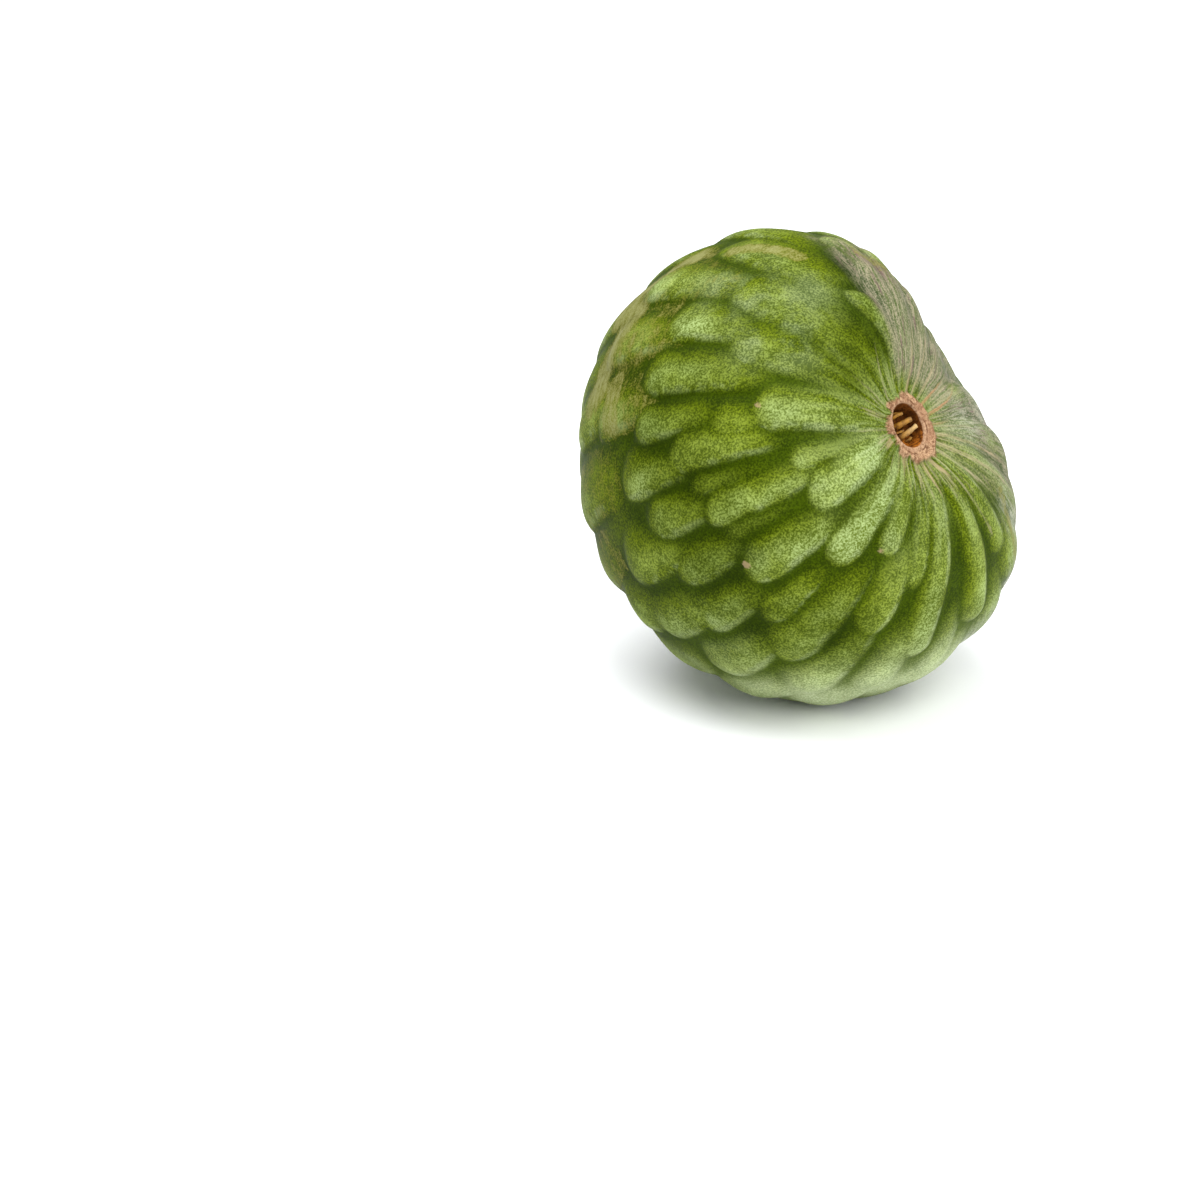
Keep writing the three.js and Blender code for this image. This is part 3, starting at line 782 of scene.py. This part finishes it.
cell_noise = speckle(place, 0.00042, 2.5, 0.60)
patch_noise = speckle(place, 0.0060, 3.0, 0.6, seed=4.0)
cells = wire.ramp(cell_noise, 0.36, 0.67)
patchy = wire.math("MULTIPLY_ADD", patch_noise, 1.1, -0.56)
waver = speckle(polar, 0.30, 2.0, 0.5, seed=11.0)
shifted = wire.add("ShaderNodeVectorMath", operation="MULTIPLY_ADD")
wire.feed(shifted.inputs[0], wire.add("ShaderNodeCombineXYZ", {0: waver, 1: waver}).outputs[0])
wire.feed(shifted.inputs[1], (0.14, 0.14, 0.0))
wire.feed(shifted.inputs[2], polar)
wavy = shifted.outputs[0]
broad_streak = speckle(wavy, 0.110, 4.0, 0.60, seed=3.0, stretch=(1, 1, 0.22))
near_stem = wire.ramp(down, 16.0, 66.0, 2.2, 0.2)
streaky = wire.math("MULTIPLY", wire.math("SUBTRACT", broad_streak, 0.5), near_stem)
lit_cells = wire.math("ADD", cells, wire.math("ADD", patchy, streaky), clamp=True)
ground = blend(lit_cells, DARK_CELL, LIGHT_CELL)
ripeness = wire.ramp(speckle(place, 0.020, 3.0, 0.55, seed=21.0), 0.40, 0.60)
crown_light = blend(ripeness, CROWN_LIGHT, CROWN_YELLOW)
crown_colour = blend(lit_cells, CROWN_DARK, crown_light)

# A scale is palest on its crest, each to its own degree: partly the crest's own paler
# colour, partly a painted highlight on the raised crest, with the flank on the far side
# of the crest kept darker as painted shade.
crest = wire.math("MULTIPLY", wire.ramp(relief, 0.22, 1.35), wire.ramp(on_skin("crown"), 0.2, 0.9))
crest = wire.math("MULTIPLY", crest, wire.ramp(off_crest, -1.0, 0.05, 0.15, 1.0))
crest = wire.math("MULTIPLY", crest, wire.ramp(patch_noise, 0.32, 0.62, 0.45, 1.1))
tone_gain = wire.math("MULTIPLY_ADD", on_skin("tone"), 1.0, 0.72)
pale = wire.math("MULTIPLY", crest, tone_gain, clamp=True)
colour = blend(pale, ground, crown_colour)
# A pale rim along the steep flank of each scale: bloom colour, laid on as a painted rim sheen.
edge_bloom_and_rim_sheen = wire.math("MULTIPLY", wire.ramp(off_crest, 0.22, 0.50), wire.ramp(relief, 0.20, 0.70))
edge_bloom_and_rim_sheen = wire.math("MULTIPLY", edge_bloom_and_rim_sheen, wire.ramp(patch_noise, 0.40, 0.60, 0.0, 0.5))
colour = blend(edge_bloom_and_rim_sheen, colour, blend(lit_cells, BLOOM_DARK, BLOOM_LIGHT))

# Pale bloom in clouds, broken up by the cells.
UNDER_LIGHT = (0.560, 0.620, 0.375, 1.0)
UNDER_DARK = (0.300, 0.360, 0.175, 1.0)

cloud = wire.ramp(speckle(place, 0.010, 4.0, 0.65, seed=1.5), 0.36, 0.62)
more_cloud = wire.ramp(speckle(place, 0.026, 2.0, 0.5, seed=2.5), 0.58, 0.74, 0.0, 0.5)
bloom_there = wire.math("MULTIPLY", wire.math("MAXIMUM", on_skin("bloom"), more_cloud), cloud)
# Bloom near the stem is kept out of the painted shade.
outside_painted_shade = wire.math("SUBTRACT", 1.0, painted_shade_there)
haze = wire.math("MULTIPLY", wire.ramp(down, 12.0, 52.0, 0.50, 0.0), wire.ramp(broad_streak, 0.38, 0.62))
haze = wire.math("MULTIPLY", haze, outside_painted_shade)
bloom_there = wire.math("MAXIMUM", bloom_there, haze)
bloom_amount = wire.math("MULTIPLY", bloom_there, 0.85)
colour = blend(bloom_amount, colour, blend(lit_cells, BLOOM_DARK, BLOOM_LIGHT))
# The underside: pale bloom, painted lighter still as light bounced up from the floor.
under_bloom_and_bounce = wire.math("MULTIPLY", on_skin("underside_bloom"), 0.95)
colour = blend(under_bloom_and_bounce, colour, blend(lit_cells, UNDER_DARK, UNDER_LIGHT))

# Darker, plainer green in the valleys and creases, partly their own green and partly
# painted shade, and painted shade laid on some flanks.
VALLEY_SHADE_TINT = (0.29, 0.37, 0.07, 1.0)
VALLEY_GREEN_AND_SHADE = (0.034, 0.056, 0.0004, 1.0)
CREASE_SHADE_GREEN = (0.034, 0.056, 0.0006, 1.0)
PAINTED_SHADE_TINT = (0.44, 0.48, 0.14, 1.0)

deep = wire.ramp(on_skin("valley"), -0.12, 0.40)
valley_shade = wire.math("MULTIPLY", deep, wire.ramp(down, 14.0, 40.0, 0.35, 1.0))
valley_shade = wire.math("MULTIPLY", valley_shade, wire.math("SUBTRACT", 1.0, under_bloom_and_bounce, clamp=True))
colour = blend(valley_shade, colour, VALLEY_SHADE_TINT, "MULTIPLY")
colour = blend(wire.math("MULTIPLY", valley_shade, 0.15), colour, VALLEY_GREEN_AND_SHADE)
# Painted shade in the narrow creases, stronger away from the scar.
crease_shade_depth = wire.ramp(down, 14.0, 60.0, 0.08, 0.32)
crease_shade = wire.math("MULTIPLY", wire.ramp(on_skin("crease"), 0.03, 0.16), crease_shade_depth)
crease_shade = wire.math("MULTIPLY", crease_shade, wire.math("SUBTRACT", 1.0, under_bloom_and_bounce))
colour = blend(crease_shade, colour, CREASE_SHADE_GREEN)
# Painted shade over those places, full in the valleys and a little less on the crests.
painted_shade_amount = wire.math("MULTIPLY", painted_shade_there, wire.ramp(deep, 0.0, 1.0, 0.80, 1.0))
colour = blend(painted_shade_amount, colour, PAINTED_SHADE_TINT, "MULTIPLY")

# Greyer, weathered side to the right of the scar, streaked along the scales.
STRIP_PALE = (0.265, 0.230, 0.155, 1.0)
STRIP_GREEN = (0.065, 0.085, 0.040, 1.0)
SILVER_PALE = (0.400, 0.410, 0.325, 1.0)
SILVER_GREEN = (0.120, 0.155, 0.080, 1.0)
PURPLE_BROWN = (0.120, 0.065, 0.070, 1.0)

side_mask = wire.ramp(facing(polar, -70.0), 0.30, 0.46)
weathered = wire.math("MULTIPLY", side_mask, wire.ramp(down, 11.0, 19.0))
weathered_end = wire.math("MULTIPLY_ADD", patch_noise, 40.0, wire.math("SUBTRACT", down, 20.0))
weathered = wire.math("MULTIPLY", weathered, wire.ramp(weathered_end, 48.0, 70.0, 1.0, 0.0))
weathered = wire.math("MULTIPLY", weathered, wire.math("SUBTRACT", 1.0, on_skin("still_green")))
streak = speckle(wavy, 0.030, 5.0, 0.66, seed=2.0, stretch=(1, 1, 0.14))
fine_streak = speckle(wavy, 0.011, 4.0, 0.62, seed=18.0, stretch=(1, 1, 0.09))
streaks = wire.math("MULTIPLY_ADD", fine_streak, 0.45, wire.math("MULTIPLY", streak, 0.50))
strip_streak = wire.math("MULTIPLY_ADD", cells, 0.10, streaks)
strip_amount = wire.math("MULTIPLY", weathered, wire.ramp(strip_streak, 0.36, 0.56, 0.45, 0.88))
strip_colour = blend(wire.ramp(strip_streak, 0.42, 0.64), STRIP_GREEN, STRIP_PALE)
colour = blend(strip_amount, colour, strip_colour)
# Silver grey: greyer skin, and painted sheen along the right outline.
silver_and_sheen = wire.math("MULTIPLY", on_skin("silver_edge"), wire.ramp(streak, 0.34, 0.56, 0.35, 0.9))
colour = blend(silver_and_sheen, colour, blend(wire.ramp(strip_streak, 0.40, 0.64), SILVER_GREEN, SILVER_PALE))
purple_line = wire.ramp(speckle(polar, 0.034, 3.0, 0.6, seed=9.0, stretch=(1, 1, 0.18)), 0.58, 0.66)
worn_side = wire.math("MAXIMUM", weathered, on_skin("silver_edge"))
purple_amount = wire.math("MULTIPLY", purple_line, wire.math("MULTIPLY", worn_side, 0.60))
net = wire.math("MULTIPLY", on_skin("rusty_net"), wire.ramp(fine_streak, 0.44, 0.58, 0.1, 0.85))
colour = blend(wire.math("MAXIMUM", purple_amount, net), colour, PURPLE_BROWN)

# Rubbed ridges, and worn skin on some scales: olive, with a paler tan middle, which along
# the upper-left outline is also painted sheen.
RUBBED_OLIVE = (0.125, 0.115, 0.014, 1.0)
RUBBED_AND_SHEEN_PALE = (0.225, 0.225, 0.085, 1.0)

rub_noise = speckle(polar, 0.070, 5.0, 0.66, seed=7.0, stretch=(1, 1, 0.8))
rub_and_sheen = wire.math("MAXIMUM", on_skin("rubbed_and_sheen"), wire.math("MULTIPLY", on_skin("wear"), 0.30))
rub_streak = speckle(polar, 0.030, 4.0, 0.66, seed=7.5, stretch=(0.25, 0.25, 1.2))
rub_uneven = wire.math("MULTIPLY_ADD", rub_streak, 1.5, wire.math("MULTIPLY_ADD", rub_noise, 1.3, -1.4))
rub_uneven = wire.math("MULTIPLY_ADD", cells, 0.34, rub_uneven)
rub_uneven = wire.math("MULTIPLY", rub_uneven, wire.ramp(rub_and_sheen, 0.0, 0.25))
rub_level = wire.math("MULTIPLY_ADD", rub_and_sheen, 0.80, rub_uneven)
colour = blend(wire.ramp(rub_level, 0.18, 0.66, 0.0, 0.65), colour, RUBBED_OLIVE)
colour = blend(wire.ramp(rub_level, 0.36, 1.20, 0.0, 0.80), colour, RUBBED_AND_SHEEN_PALE)

# Small tan dots on some tips.
TAN_SPOT = (0.330, 0.235, 0.130, 1.0)

dot_edge = wire.math("MULTIPLY_ADD", speckle(place, 0.0012, 3.0, 0.6, seed=12.0), 1.6, -0.8)
dot_amount = wire.ramp(wire.math("ADD", on_skin("dot"), dot_edge), 0.40, 0.90, 0.0, 0.65)
colour = blend(dot_amount, colour, TAN_SPOT)

# Tan lines that run out from the scar and thin out, longest on its right and below.
TAN_LINE = (0.330, 0.290, 0.170, 1.0)
ORANGE_TAN = (0.340, 0.175, 0.085, 1.0)

rays = on_skin("rays")
ray_noise = speckle(wavy, 0.075, 5.0, 0.62, seed=5.0, stretch=(1, 1, 0.15))
ray_limit = wire.math("MULTIPLY_ADD", rays, -0.10, wire.ramp(down, 9.0, 56.0, 0.58, 0.72))
ray_level = wire.math("SUBTRACT", ray_noise, ray_limit)
ray_amount = wire.math("MULTIPLY", wire.ramp(ray_level, -0.02, 0.12), wire.ramp(rays, 0.05, 0.5, 0.0, 0.5))
colour = blend(ray_amount, colour, TAN_LINE)

around = wire.math("DEGREES", wire.math("ARCTAN2", axes[1], axes[0]))
widening = wire.math("SINE", wire.math("RADIANS", down))
degree_wide = wire.math("MULTIPLY", widening, MILLIMETRES_PER_DEGREE)
ragged = wire.math("MULTIPLY_ADD", speckle(place, 0.0030, 4.0, 0.65, seed=15.0), 2.2, -1.1)
thread = wire.ramp(streak, 0.38, 0.62, 0.30, 0.90)


def scar_line(around_near, down_near, around_far, down_far, half_width, strength):
    """How much of a point is covered by one line that runs out from the scar."""
    share = wire.math("DIVIDE", wire.math("SUBTRACT", down, down_near), down_far - down_near)
    middle = wire.math("MULTIPLY_ADD", share, around_far - around_near, around_near)
    turned_off = wire.math("WRAP", wire.math("SUBTRACT", around, middle), 180.0, -180.0)
    off_line = wire.math("MULTIPLY_ADD", turned_off, degree_wide, wire.math("MULTIPLY", ragged, 0.5))
    width = wire.math("MULTIPLY_ADD", wire.ramp(share, 0.0, 1.0, 0.95, 0.45), half_width, 0.06)
    across = wire.ramp(wire.math("DIVIDE", wire.math("ABSOLUTE", off_line), width), 0.3, 1.3, 1.0, 0.0)
    length = wire.ramp(wire.math("MULTIPLY_ADD", ragged, 0.18, share), 0.45, 1.0, strength, 0.0)
    begun = wire.math("GREATER_THAN", share, 0.0)
    torn = wire.math("MULTIPLY", begun, thread)
    return wire.math("MULTIPLY", wire.math("MULTIPLY", across, length), torn)


for *line, orange_share in SCAR_LINES:
    shade = [t + orange_share * (o - t) for t, o in zip(TAN_LINE, ORANGE_TAN)]
    colour = blend(scar_line(*line), colour, tuple(shade))

# Cork round the pit, with a paler lip, and the brown wall of the pit itself.
CORK = (0.500, 0.315, 0.180, 1.0)
CORK_DARK = (0.130, 0.058, 0.028, 1.0)
CORK_BROWN = (0.260, 0.130, 0.070, 1.0)
CORK_LIP = (0.440, 0.280, 0.170, 1.0)
CORK_CRACK = (0.090, 0.035, 0.018, 1.0)
PIT_BROWN = (0.075, 0.023, 0.005, 1.0)
PIT_ORANGE = (0.330, 0.105, 0.012, 1.0)

past_cork = on_skin("past_cork")
out = on_skin("out_from_stem")
edge_noise = speckle(polar, 0.40, 3.0, 0.55, seed=3.0, stretch=(1, 1, 0.4))
lobes = wire.math("MULTIPLY_ADD", edge_noise, -6.0, wire.math("MULTIPLY", ray_noise, -1.0))
cork_limit = wire.math("ADD", lobes, wire.math("ADD", past_cork, 3.6))
on_cork = wire.ramp(cork_limit, -0.45, 0.50, 1.0, 0.0)
grain = speckle(place, 0.0011, 5.0, 0.75, seed=6.0)
cork_dust = speckle(place, 0.00042, 3.0, 0.7, seed=19.0)
cork_tone = wire.math("MULTIPLY_ADD", cork_dust, 0.55, wire.math("MULTIPLY", grain, 0.55))
cork_colour = blend(wire.ramp(cork_tone, 0.42, 0.63), CORK_DARK, CORK)
lip_noise = wire.math("MULTIPLY_ADD", speckle(place, 0.003, 2.0, 0.5, seed=8.0), 2.4, PIT_RADIUS - 0.95)
lip = wire.ramp(wire.math("ABSOLUTE", wire.math("SUBTRACT", out, lip_noise)), 0.10, 0.50, 1.0, 0.0)
crack_place = wire.math("ADD", lip_noise, 0.75)
crack = wire.ramp(wire.math("ABSOLUTE", wire.math("SUBTRACT", out, crack_place)), 0.08, 0.34, 1.0, 0.0)
crack_here = wire.ramp(speckle(place, 0.0026, 3.0, 0.6, seed=14.0), 0.45, 0.60, 0.0, 0.8)
cork_colour = blend(wire.math("MULTIPLY", crack, crack_here), cork_colour, CORK_CRACK)
fibre_noise = speckle(place, 0.0009, 3.0, 0.7, seed=17.0, stretch=(1.6, 0.8, 0.6))
cork_fibre = wire.ramp(fibre_noise, 0.54, 0.62, 0.0, 0.7)
cork_colour = blend(cork_fibre, cork_colour, CORK_DARK)
cork_patch = wire.ramp(speckle(place, 0.0034, 3.0, 0.6, seed=16.0), 0.40, 0.62, 0.0, 0.55)
cork_colour = blend(cork_patch, cork_colour, CORK_BROWN)
lip_amount = wire.math("MULTIPLY", lip, wire.ramp(cork_tone, 0.40, 0.60, 0.0, 0.5))
cork_colour = blend(lip_amount, cork_colour, CORK_LIP)
colour = blend(on_cork, colour, cork_colour)
# Pit wall: dark brown with orange patches of its own, gathered on the lower side as painted light, upper
# side left dark as painted shade.
orange = wire.ramp(facing(polar, 180.0), 0.0, 0.9, 0.22, 1.0)
orange_patch = wire.math("MULTIPLY", orange, wire.ramp(grain, 0.42, 0.56))
pit_colour = blend(orange_patch, PIT_BROWN, PIT_ORANGE)
colour = blend(wire.ramp(on_skin("in_pit"), 0.02, 0.30), colour, pit_colour)

# Fine relief: cells, the lines from the scar, and the cork's grain.
cell_bump = wire.add("ShaderNodeBump", {"Strength": 0.5, "Distance": 0.00010, "Height": cell_noise})
ray_height = wire.math("MULTIPLY", broad_streak, wire.ramp(down, 9.0, 50.0, 1.0, 0.15))
ray_bump = wire.add("ShaderNodeBump", {"Strength": 0.6, "Distance": 0.0006, "Height": ray_height})
wire.feed(ray_bump.inputs["Normal"], cell_bump.outputs[0])
cork_height = wire.math("MULTIPLY", grain, wire.math("MAXIMUM", on_cork, on_skin("in_pit")))
cork_bump = wire.add("ShaderNodeBump", {"Strength": 0.9, "Distance": 0.0007, "Height": cork_height})
wire.feed(cork_bump.inputs["Normal"], ray_bump.outputs[0])

roughness = wire.math("MULTIPLY_ADD", on_cork, 0.28, wire.math("MULTIPLY_ADD", cell_noise, 0.12, 0.46))
finish = wire.add("ShaderNodeBsdfPrincipled", {
    "Base Color": colour,
    "Roughness": roughness,
    "Normal": cork_bump.outputs[0],
    "Specular IOR Level": 0.02,
})
wire.feed(wire.add("ShaderNodeOutputMaterial").inputs[0], finish.outputs[0])

fruit = grow(fruit_body, scale_tree, {
    "Tips": scale_tips,
    "Centre": [float(v) * MILLIMETRE for v in CENTRE],
    "Millimetres per degree": MILLIMETRES_PER_DEGREE,
    "Skin": skin,
}, "whole_fruit")
bpy.data.objects.remove(scale_tips)
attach(fruit, "root")
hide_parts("fruit")


# Torn stalk fibres: a few stiff golden strands of the stalk that stayed behind in the
# pit when the fruit was picked. They are rooted in its floor and lean across it.

# Points from root to tip as (up, across, above the pit's floor), and the thickness.
STRANDS = [
    ([(-2.2, 1.4, -1.0), (-1.5, -0.6, 1.0), (-0.3, -2.9, 2.4)], 1.5),
    ([(0.2, 2.6, -1.0), (0.6, 0.6, 1.0), (1.2, -2.2, 2.0)], 1.6),
    ([(2.2, 2.6, -1.0), (2.6, 1.0, 0.6), (2.9, -1.0, 1.3)], 1.1),
    ([(-0.8, 3.0, -1.0), (-0.9, 1.6, 0.4), (-0.6, -0.4, 0.9)], 0.7),
    ([(3.0, 1.6, -1.0), (3.2, 0.6, 0.1), (3.1, -0.8, 0.5)], 0.8),
    ([(-3.0, -0.4, -0.6), (-2.9, -1.2, 0.3), (-2.4, -2.2, 0.6)], 0.9),
]
STRAND_THINNING = 0.35
STRAND_RAGGEDNESS = 0.16
PALE_STRAND = 0
OTHER_TIPS_PALE = 0.15
pit_floor = body_points[0]
strand_points, strand_edges, strand_thickness, strand_tip = [], [], [], []
for number, (route, thickness) in enumerate(STRANDS):
    for step, (up, across, above) in enumerate(route):
        if step:
            strand_edges.append((len(strand_points) - 1, len(strand_points)))
        point = pit_floor + UPWARD * up + ACROSS * across + STEM * above
        strand_points.append(point * MILLIMETRE)
        share = step / (len(route) - 1)
        strand_thickness.append(thickness * (1.0 - STRAND_THINNING * share))
        strand_tip.append(share ** 2 * (1.0 if number == PALE_STRAND else OTHER_TIPS_PALE))
strand_mesh = bpy.data.meshes.new("strand_routes")
strand_mesh.from_pydata([tuple(p) for p in strand_points], strand_edges, [])
store(strand_mesh, "thickness", strand_thickness)
store(strand_mesh, "toward_tip", strand_tip)
strand_routes = bpy.data.objects.new("strand_routes", strand_mesh)
collection.objects.link(strand_routes)

strand_tree = new_tree("torn_strands", [
    ("Steps", "Int", 14),
    ("Sides", "Int", 10),
    ("Raggedness", "Float", STRAND_RAGGEDNESS),
    ("Seed", "Float", 8.0),
    ("Fibre", "Material", None),
])
wire = Wiring(strand_tree)
given = wire.add("NodeGroupInput").outputs
curve = wire.add("GeometryNodeMeshToCurve", {"Mesh": given["Geometry"]}).outputs[0]
spline = wire.add("GeometryNodeCurveSplineType", {"Curve": curve}, spline_type="CATMULL_ROM")
steps = {"Curve": spline.outputs[0], "Count": given["Steps"]}
even = wire.add("GeometryNodeResampleCurve", steps).outputs[0]
radius = wire.math("MULTIPLY", named("thickness"), 0.5 * MILLIMETRE)
ring = {"Resolution": given["Sides"], "Radius": 1.0}
section = wire.add("GeometryNodeCurvePrimitiveCircle", ring).outputs[0]
swept = wire.add("GeometryNodeCurveToMesh", {
    "Curve": even, "Profile Curve": section, "Scale": radius, "Fill Caps": True,
})
torn = wire.add("GeometryNodeSetPosition", {"Geometry": swept.outputs[0]})
tear_feeds = {"W": given["Seed"], "Scale": 900.0, "Detail": 2.0}
tear = wire.add("ShaderNodeTexNoise", tear_feeds, noise_dimensions="4D")
centred = wire.vector("SUBTRACT", tear.outputs["Color"], (0.5, 0.5, 0.5))
shift = wire.add("ShaderNodeVectorMath", operation="SCALE")
wire.feed(shift.inputs[0], centred)
wire.feed(shift.inputs["Scale"], wire.math("MULTIPLY", given["Raggedness"], 4.0 * MILLIMETRE))
wire.feed(torn.inputs["Offset"], shift.outputs[0])
finish_tree(torn.outputs[0], given["Fibre"])

STRAND_DARK = (0.075, 0.024, 0.002, 1.0)
STRAND_AMBER = (0.290, 0.130, 0.010, 1.0)
STRAND_TIP = (0.560, 0.380, 0.160, 1.0)

fibre = bpy.data.materials.new("torn_stalk_fibre")
fibre.use_nodes = True
fibre.node_tree.nodes.clear()
wire = Wiring(fibre.node_tree)
place = wire.add("ShaderNodeTexCoord").outputs["Object"]
strand_noise = speckle(place, 0.0016, 3.0, 0.65, seed=2.0)
amber = blend(wire.ramp(strand_noise, 0.38, 0.62), STRAND_DARK, STRAND_AMBER)
fibre_colour = blend(on_skin("toward_tip"), amber, STRAND_TIP)
fibre_bump = wire.add("ShaderNodeBump", {"Strength": 0.8, "Distance": 0.0003, "Height": strand_noise})
finish = wire.add("ShaderNodeBsdfPrincipled", {
    "Base Color": fibre_colour,
    "Roughness": 0.38,
    "Specular IOR Level": 0.12,
    "Normal": fibre_bump.outputs[0],
})
wire.feed(wire.add("ShaderNodeOutputMaterial").inputs[0], finish.outputs[0])

strands = grow(strand_routes, strand_tree, {"Fibre": fibre}, "stalk_fibres")
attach(strands, "root")


# Floor: a wide sheet of matt white board, level with the spot the fruit lies on, and
# large enough that its edge lies far behind the fruit.

FLOOR_REACH = 4.0
corners = [(-1, -1), (1, -1), (1, 1), (-1, 1)]

floor_mesh = bpy.data.meshes.new("floor")
floor_mesh.from_pydata([(x * FLOOR_REACH, y * FLOOR_REACH, 0.0) for x, y in corners], [], [(0, 1, 2, 3)])
board = bpy.data.materials.new("white_board")
board.use_nodes = True
board_finish = board.node_tree.nodes["Principled BSDF"]
board_finish.inputs["Base Color"].default_value = (0.90, 0.91, 0.93, 1.0)
board_finish.inputs["Roughness"].default_value = 0.7
board_finish.inputs["Specular IOR Level"].default_value = 0.2
floor_mesh.materials.append(board)
floor = bpy.data.objects.new("floor", floor_mesh)
collection.objects.link(floor)


# Light: a white room, one large soft lamp above the left and one at the front right,
# both discs of cloth with a lamp behind.

room = bpy.data.worlds.new("white_room")
room.use_nodes = True
walls = room.node_tree.nodes["Background"]
walls.inputs["Color"].default_value = (0.97, 0.985, 1.0, 1.0)
walls.inputs["Strength"].default_value = 0.68
scene.world = room

# Name, place, diameter, watts, turn about X and Y in degrees.
LAMPS = [
    ("soft_lamp_above", (-0.28, 0.05, 1.00), 1.0, 13.0, (-3.0, -16.0)),
    ("soft_lamp_right", (0.55, -0.60, 0.80), 1.2, 14.0, (38.0, 34.0)),
]
for lamp_name, lamp_place, diameter, watts, (turn_x, turn_y) in LAMPS:
    lamp = bpy.data.lights.new(lamp_name, "AREA")
    lamp.shape = "DISK"
    lamp.size = diameter
    lamp.energy = watts
    stand = bpy.data.objects.new(lamp_name, lamp)
    stand.location = lamp_place
    stand.rotation_euler = (math.radians(turn_x), math.radians(turn_y), 0.0)
    collection.objects.link(stand)

scene.view_settings.view_transform = "Standard"
scene.view_settings.look = "None"
